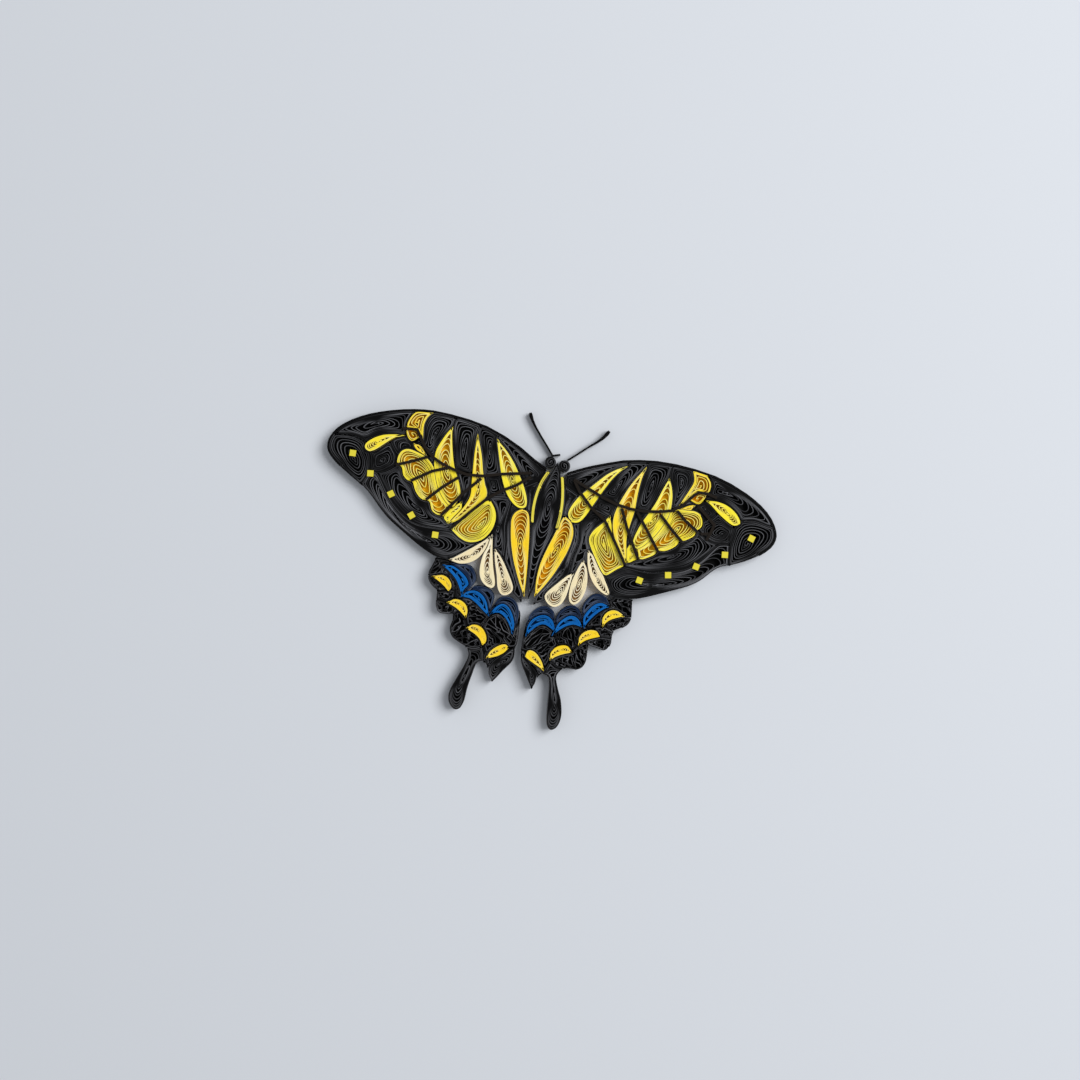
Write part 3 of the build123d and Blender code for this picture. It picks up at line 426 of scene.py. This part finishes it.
def wound(outline, seed, strips, fullness):
    """A strip wound inside an outline, from the outside in. A turn of size u runs along one side of the
    outline and back along the other: at share s it lies at spine(t) + u^q cap (side(t) - spine(t)),
    where t = m + (s - m) u and m is the heart's place on the spine. Cap closes the turn's ends with
    half circles. So turns are evenly spaced along the spine and crowd at the sides, and q makes the
    innermost one round. The outermost turns have u = 1 and lie packed, each one a thickness further
    in. On the side away from a roll's slack u^p stands for u, with p rising from TIGHT_POWER in the
    outermost turn to 1 in the innermost, so that most turns reach far out there and lie tight. Turns
    further in lose the outline's bumps."""
    chance = np.random.default_rng(seed)
    there, back, spine = sides(outline)
    length = lengths(np.diff(spine, axis=0)).sum()
    heart, slack = heart_of(outline, there, back, spine)
    nearest = lengths(spine - heart).argmin()
    middle = SHARES[nearest]
    half_width = max(lengths(there[nearest] - spine[nearest]), LEAST_EYELETS * strips.eyelet)
    reach = max(length * max(middle, 1 - middle), 2 * half_width)
    turns = fullness * reach / (LEAST_PITCH + PITCH_GROWTH * reach)
    turns = min(turns, max(half_width / strips.thickness, LEAST_TURNS))
    packed = min(PACKED_TURNS, turns / 2)
    smallest = strips.eyelet / reach
    crowd = math.log(strips.eyelet / half_width) / math.log(smallest)

    per_turn = int(np.clip(2 * length / POINT_SPACING, *POINTS_PER_TURN))
    angle = np.linspace(0, 2 * math.pi * turns, int(per_turn * turns))
    whole = angle / (2 * math.pi)
    inwards = np.clip(whole - packed, 0, None) / (turns - packed)
    phase = chance.uniform(0, 6)
    sway = np.sin(whole * UNEVEN_RATE + phase) * np.sin(math.pi * inwards)
    inwards = np.clip(inwards + UNEVENNESS * sway, 0, 1)
    size = smallest + (1 - smallest) * (1 - inwards) ** SHRINKING
    share = (1 - np.cos(angle)) / 2
    onward = (spine[-1] - spine[0]) @ np.array([math.cos(slack), math.sin(slack)])
    tight = (share - middle) * onward < 0
    stretch = size ** np.where(tight, TIGHT_POWER + (1 - TIGHT_POWER) * (1 - size) ** 3, 1)
    on_spine = middle + (share - middle) * stretch

    bumpy = np.clip((size - BUMPY_SIZE) / (1 - BUMPY_SIZE), 0, 1)[:, None]
    ease = int(np.clip(EASING * half_width / length, *EASE_RANGE))

    def softened(line):
        return bumpy * at(line, on_spine) + (1 - bumpy) * at(eased(line, ease), on_spine)

    core = softened(spine)
    aside = np.where(np.sin(angle)[:, None] >= 0, softened(there), softened(back)) - core
    run = length * stretch * np.minimum(share, 1 - share)
    into = np.minimum(1, run / np.maximum(lengths(aside), LEAST_WIDTH))
    cap = (into * (2 - into)) ** (0.5 * np.clip((1 - size) / CAPPED_SHARE, 0, 1))
    spread = size ** crowd
    line = core + (spread * cap)[:, None] * aside
    line = line + (1 - spread)[:, None] * (heart - spine[nearest])
    return Lay(held_in(line, outline), size, whole, np.minimum(whole, packed))


def folded(outline, seed, strips):
    """A strip crumpled inside an outline. It goes to and fro between the two sides, leg by leg along
    the spine, clear of the border, and each of its points is moved by chance before the corners are
    eased."""
    chance = np.random.default_rng(seed)
    there, back, spine = sides(outline)
    length = lengths(np.diff(spine, axis=0)).sum()
    legs = max(int(length / (LEG_PITCH * strips.thickness)), LEAST_LEGS)
    leg = np.repeat(np.arange(legs), LEG_POINTS)
    across = np.tile(np.linspace(-1, 1, LEG_POINTS), legs) * np.where(leg % 2, -1, 1)
    across = np.clip(across + chance.uniform(-LEG_STRAY, LEG_STRAY, len(leg)), -1, 1)
    share = np.clip((leg + 0.5 + chance.uniform(-1, 1, len(leg))) / legs, *LEG_ENDS)
    core = at(spine, share)
    aside = np.where(across[:, None] > 0, at(there, share), at(back, share)) - core
    room = np.clip(1 - BORDER_ROOM * strips.thickness / np.maximum(lengths(aside), LEAST_WIDTH), 0, 1)
    line = held_in(core + (np.abs(across) * room)[:, None] * aside, outline)
    line = eased(along(line, np.linspace(0, 1, LEG_FINENESS * len(leg))), 2)
    count = len(line)
    return Lay(line, np.full(count, CRUMPLE_SIZE), np.linspace(0, legs, count), np.zeros(count))


def bordered(outline):
    """A strip that goes round along an outline, each turn one thickness further in."""
    line = np.concatenate([outline] * BORDER_TURNS + [outline[:1]])
    whole = np.linspace(0, BORDER_TURNS, len(line))
    return Lay(line, np.ones(len(line)), whole, whole)


def ribbon(lay, outline, bottom, top, strips, seed):
    """A strip on its edge along its line: four corners at each point, joined by quads, with both ends
    closed. Its thickness is laid to the inside, from as many thicknesses in as inset says, and is
    pressed flat where the outline is narrower. Where the next turn is less than two thicknesses off
    the strip swells, and at one and a half it fills the gap, so that close turns touch. Its rim sags
    by chance, the more the further in it is. Its inner corner gets more painted highlight, the wider
    the gap to the next turn is, and the outer corner gets painted highlight only in the outermost turn."""
    line, size, whole, inset = lay
    chance = np.random.default_rng(seed)
    ahead = np.gradient(line, axis=0)
    ahead = ahead / np.maximum(lengths(ahead), LEAST_STEP)[:, None]
    inward = np.stack([-ahead[:, 1], ahead[:, 0]], axis=1)
    following = np.stack([np.interp(whole + 1, whole, line[:, k]) for k in range(2)], axis=1)
    gap = lengths(following - line)
    touching = np.clip(4 - 2 * gap / strips.thickness, 0, 1)
    thickness = strips.thickness + touching * np.clip(gap - strips.thickness, 0, None)
    outer = held_in(line + inward * strips.thickness * inset[:, None], outline)
    inner = held_in(outer + inward * thickness[:, None], outline)

    marks = np.arange(int(MARKS_PER_TURN * whole.max()) + 2 * MARKS_PER_TURN) / MARKS_PER_TURN
    dip = np.interp(whole, marks, chance.uniform(0, 1, len(marks)))
    rim = top - strips.sag * dip * np.minimum(1, SAG_GROWTH * (1 - size))
    foot = np.full_like(rim, bottom)
    corners = np.stack([
        np.column_stack([outer, foot]), np.column_stack([outer, rim]),
        np.column_stack([inner, rim]), np.column_stack([inner, foot])], axis=1)
    # Painted highlight: a paler inner corner where the gap to the next turn is wide, and by chance a
    # paler outer corner in the outermost turn.
    lit = np.interp(whole, marks, chance.uniform(GLINT_LEAST, 1, len(marks)) ** GLINT_POWER)
    glint = lit * np.clip((gap - GLINT_GAP) / GLINT_RANGE, 0, 1)
    border = np.interp(whole, marks, chance.uniform(0, BORDER_GLINT, len(marks)) ** 2)
    border = np.where(whole < 1, border, 0)
    glints = np.outer(border, (0, 1, 0, 0)) + np.outer(glint, (0, 0, 1, 0))

    count = len(line)
    first = np.arange(count - 1)[:, None] * 4
    here = first + np.arange(4)
    beside = first + (np.arange(4) + 1) % 4
    quads = np.stack([here, here + 4, beside + 4, beside], axis=-1).reshape(-1, 4)
    quads = np.concatenate([quads, [np.arange(4)], [4 * count - 1 - np.arange(4)]])
    return Shape(corners.reshape(-1, 3), quads.ravel(), np.full(len(quads), 4), glints.ravel())


def shade_bed_outline(outline, strips):
    """Outline of a roll's shade bed, the sheet under its turns that shows painted shade between them. It
    lies half a thickness inside the outermost turn, which hides it from the side: each of its points
    is drawn in towards the spine."""
    there, back, spine = sides(outline)

    def drawn_in(side):
        width = np.maximum(lengths(side - spine), strips.thickness)
        return side + (0.5 * strips.thickness / width)[:, None] * (spine - side)

    return np.concatenate([drawn_in(there), drawn_in(back)[-2:0:-1]])


def slab(outline, bottom, top):
    """Plate with this outline: a ring of walls between a lower and an upper face."""
    count = len(outline)
    corners = np.concatenate([
        np.column_stack([outline, np.full(count, height)]) for height in (bottom, top)])
    here = np.arange(count)
    beside = (here + 1) % count
    walls = np.stack([here, beside, beside + count, here + count], axis=1)
    loops = np.concatenate([walls.ravel(), here[::-1], here + count])
    return Shape(corners, loops, np.array([4] * count + [count, count]), np.zeros(2 * count))


def put(node, shapes, tones, material):
    """Joins shapes into one mesh that stands for a CAD node. Each shape has a tone of its own."""
    sizes = np.array([len(shape.corners) for shape in shapes])
    starts = np.cumsum(sizes) - sizes
    corners = np.concatenate([shape.corners for shape in shapes])
    loops = np.concatenate([shape.loops + start for shape, start in zip(shapes, starts)])
    counts = np.concatenate([shape.counts for shape in shapes])
    glint = np.concatenate([shape.glint for shape in shapes])
    mesh = bpy.data.meshes.new(node + "_turns")
    mesh.vertices.add(len(corners))
    mesh.vertices.foreach_set("co", corners.astype(np.float32).ravel())
    mesh.loops.add(len(loops))
    mesh.loops.foreach_set("vertex_index", loops.astype(np.int32))
    mesh.polygons.add(len(counts))
    mesh.polygons.foreach_set("loop_start", (np.cumsum(counts) - counts).astype(np.int32))
    mesh.polygons.foreach_set("use_smooth", np.ones(len(counts), dtype=bool))
    mesh.update()
    for label, values in (("glint", glint), ("tone", np.repeat(tones, sizes))):
        mesh.attributes.new(label, "FLOAT", "POINT").data.foreach_set("value", values.astype(np.float32))
    mesh.validate()
    mesh.set_sharp_from_angle(angle=SHARP_EDGE)
    mesh.materials.append(material)
    piece = bpy.data.objects.new(mesh.name, mesh)
    bpy.context.scene.collection.objects.link(piece)
    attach(piece, "root")
    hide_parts(node)


def wind(node, material, edges=None, fullness=1.0, tone=0.0, crumpled=False):
    """Fills each outline with a wound strip, or with a crumpled one inside a border, over a shade bed: a
    sheet that fills the gaps between the turns up to its height and shows painted shade there. The
    outlines are those of the CAD node's solids, unless others are given. The painted highlights of a
    crumpled strip are squared, so that less of it is painted pale."""
    strips = bpy.context.scene.quilling_strips
    low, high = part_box(node)
    shapes, tones = [], []
    for number, outline in enumerate(edges or outlines(node)):
        seed = zlib.crc32(f"{node} {number}".encode())
        edge = rounded(outline)
        if crumpled:
            lays = [folded(edge, seed, strips), bordered(edge)]
        else:
            lays = [wound(edge, seed, strips, fullness)]
        turns = [ribbon(lay, edge, low.z, high.z, strips, seed) for lay in lays]
        # Painted highlight: squared on crumpled strips, so that fewer of their edges are painted pale.
        if crumpled:
            turns = [strip._replace(glint=strip.glint ** 2) for strip in turns]
        # Painted shade: the shade bed under the turns shows the deep colour between them.
        shapes += [slab(shade_bed_outline(edge, strips), low.z, low.z + strips.shade_bed_height), *turns]
        own_tone = tone + np.random.default_rng(seed).uniform(0, TONE_SPREAD)
        tones += [own_tone] * (1 + len(turns))
    put(node, shapes, tones, material)


def dress(node, material):
    """Gives a CAD node a paper finish as it is."""
    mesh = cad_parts[node].data
    mesh.materials.clear()
    mesh.materials.append(material)


class WindRolls:
    """Shared by the operators that wind rolls: their nodes, with a paper for each, how full the rolls
    are wound, how deep their tone is, and whether their strips are crumpled."""

    rolls = {}
    fullness = {}
    tone = {}
    crumpled = ()

    def execute(self, context):
        made = papers(context)
        for name, slot in self.rolls.items():
            for side in SIDES:
                wind(f"{name}_{side}", made[slot], fullness=self.fullness.get(name, 1.0),
                     tone=self.tone.get(name, 0.0), crumpled=name in self.crumpled)
        return {"FINISHED"}


class QUILL_OT_body(Operator):
    """Body, abdomen and eye rolls, antennae and thorax stripes"""

    bl_idname = "quilling.body"
    bl_label = "Body"

    def execute(self, context):
        made = papers(context)
        wind("body_roll", made["black_paper"], fullness=1.5)
        for side in SIDES:
            wind("abdomen_roll_" + side, made["yellow_paper"], tone=0.5)
            wind("eye_" + side, made["black_paper"], [ring("eye_" + side)], fullness=0.6)
            wind("thorax_stripe_" + side, made["lemon_paper"])
            dress("antenna_" + side, made["black_paper"])
        return {"FINISHED"}


class QUILL_OT_forewing_yellow(WindRolls, Operator):
    """Yellow rolls of the forewings"""

    bl_idname = "quilling.forewing_yellow"
    bl_label = "Forewing yellow rolls"
    rolls = dict.fromkeys(
        ["bar_inner", "bar_middle", "bar_outer", "cell_base", "cell_wedge", "cell_roll", "costal_comma",
         "costal_links", "apex_drop"], "yellow_paper")
    fullness = {"cell_base": 1.15, "costal_comma": 0.6, "costal_links": 0.45}
    tone = {"costal_comma": 0.3, "costal_links": 0.3, "bar_middle": 0.25, "cell_roll": 0.1}


class QUILL_OT_forewing_black(WindRolls, Operator):
    """Black rolls of the forewings"""

    bl_idname = "quilling.forewing_black"
    bl_label = "Forewing black rolls"
    rolls = dict.fromkeys(
        ["apex_roll", "tip_roll", "outer_margin_rolls", "inner_margin_rolls", "bar_gap_rolls",
         "base_rolls"], "black_paper")
    fullness = {"outer_margin_rolls": 1.4, "inner_margin_rolls": 1.2}


class QUILL_OT_hindwing_colour(WindRolls, Operator):
    """Coloured rolls of the hindwings"""

    bl_idname = "quilling.hindwing_colour"
    bl_label = "Hindwing coloured rolls"
    rolls = {
        "cream_drops": "cream_paper", "blue_crescents": "blue_paper", "navy_crescents": "navy_paper",
        "lunules": "yellow_paper"}
    fullness = {"lunules": 1.2, "blue_crescents": 0.6, "navy_crescents": 0.6}
    tone = {"lunules": 0.45}


class QUILL_OT_hindwing_black(WindRolls, Operator):
    """Black rolls of the hindwings, with tails and corners"""

    bl_idname = "quilling.hindwing_black"
    bl_label = "Hindwing black rolls"
    rolls = dict.fromkeys(["upper_rolls", "lower_rolls", "tail_roll", "corner_roll"], "black_paper")
    crumpled = ("upper_rolls", "lower_rolls")


class QUILL_OT_veins(Operator):
    """Rims of the forewings, with the vein strips and squares that lie on them"""

    bl_idname = "quilling.veins"
    bl_label = "Rims, veins and squares"

    def execute(self, context):
        made = papers(context)
        dress("wing_rims", made["black_paper"])
        for side in SIDES:
            dress("veins_" + side, made["vein_paper"])
            dress("squares_" + side, made["lemon_paper"])
        return {"FINISHED"}


def lay_floor(scene):
    """A square of pale card just under the butterfly."""
    finish = bpy.data.materials.new("floor_card")
    finish.use_nodes = True
    shader = finish.node_tree.nodes["Principled BSDF"]
    shader.inputs["Base Color"].default_value = scene.quilling_colours.floor
    shader.inputs["Roughness"].default_value = FLOOR_ROUGHNESS
    mesh = bpy.data.meshes.new("floor")
    corners = np.array([(-1, -1, 0), (1, -1, 0), (1, 1, 0), (-1, 1, 0)]) * FLOOR_REACH
    mesh.from_pydata(corners.tolist(), [], [(0, 1, 2, 3)])
    mesh.materials.append(finish)
    floor = bpy.data.objects.new("floor", mesh)
    floor.location.z = -FLOOR_DROP
    scene.collection.objects.link(floor)


def light(scene):
    """One wide lamp that points at the butterfly, and daylight from all round."""
    studio = scene.quilling_studio
    lamp = bpy.data.lights.new("window", "AREA")
    lamp.energy = studio.lamp_power
    lamp.size = studio.lamp_width
    window = bpy.data.objects.new("window", lamp)
    window.location = studio.lamp_place
    window.rotation_euler = (-window.location).to_track_quat("-Z", "Y").to_euler()
    scene.collection.objects.link(window)
    world = bpy.data.worlds.new("daylight")
    world.use_nodes = True
    sky = world.node_tree.nodes["Background"]
    sky.inputs["Color"].default_value = SKY_TINT
    sky.inputs["Strength"].default_value = studio.daylight
    scene.world = world


def look_down(scene):
    """Camera straight over the butterfly. The picture is view_width wide at the rims of the rolls."""
    studio = scene.quilling_studio
    lens = bpy.data.cameras.new("camera")
    lens.sensor_width = SENSOR_WIDTH
    lens.lens = lens.sensor_width * studio.camera_height / studio.view_width
    lens.clip_start = NEAREST_SEEN
    camera = bpy.data.objects.new("camera", lens)
    right = np.array([math.cos(studio.view_turn), math.sin(studio.view_turn)])
    up = np.array([-right[1], right[0]])
    shift = np.array(PICTURE_SHIFT) * studio.view_width / PICTURE_WIDTH
    camera.location = (*(shift[0] * right + shift[1] * up), RIM_HEIGHT + studio.camera_height)
    camera.rotation_euler = (0, 0, studio.view_turn)
    scene.collection.objects.link(camera)
    scene.camera = camera


class QUILL_OT_stage(Operator):
    """Pale floor, soft light and the camera over the butterfly"""

    bl_idname = "quilling.stage"
    bl_label = "Stage"

    def execute(self, context):
        lay_floor(context.scene)
        light(context.scene)
        look_down(context.scene)
        context.scene.view_settings.view_transform = "Standard"
        return {"FINISHED"}


class QUILL_PT_sidebar(Panel):
    """Sizes, colours and steps of the quilled butterfly"""

    bl_label = "Quilled butterfly"
    bl_space_type = "VIEW_3D"
    bl_region_type = "UI"
    bl_category = "Quilling"

    def draw(self, context):
        for operator in OPERATORS:
            self.layout.operator(operator.bl_idname)
        for group in ("quilling_strips", "quilling_colours", "quilling_studio"):
            settings = getattr(context.scene, group)
            for name in settings.__annotations__:
                self.layout.prop(settings, name)


OPERATORS = (
    QUILL_OT_body, QUILL_OT_forewing_yellow, QUILL_OT_forewing_black, QUILL_OT_hindwing_colour,
    QUILL_OT_hindwing_black, QUILL_OT_veins, QUILL_OT_stage)
CLASSES = (PaperStrips, PaperColours, StudioSizes, *OPERATORS, QUILL_PT_sidebar)


def register():
    for cls in CLASSES:
        bpy.utils.register_class(cls)
    bpy.types.Scene.quilling_strips = PointerProperty(type=PaperStrips)
    bpy.types.Scene.quilling_colours = PointerProperty(type=PaperColours)
    bpy.types.Scene.quilling_studio = PointerProperty(type=StudioSizes)


def unregister():
    del bpy.types.Scene.quilling_studio
    del bpy.types.Scene.quilling_colours
    del bpy.types.Scene.quilling_strips
    for cls in reversed(CLASSES):
        bpy.utils.unregister_class(cls)


def main():
    register()
    bpy.ops.quilling.body()
    bpy.ops.quilling.forewing_yellow()
    bpy.ops.quilling.forewing_black()
    bpy.ops.quilling.hindwing_colour()
    bpy.ops.quilling.hindwing_black()
    bpy.ops.quilling.veins()
    bpy.ops.quilling.stage()


if __name__ == "__main__":
    main()
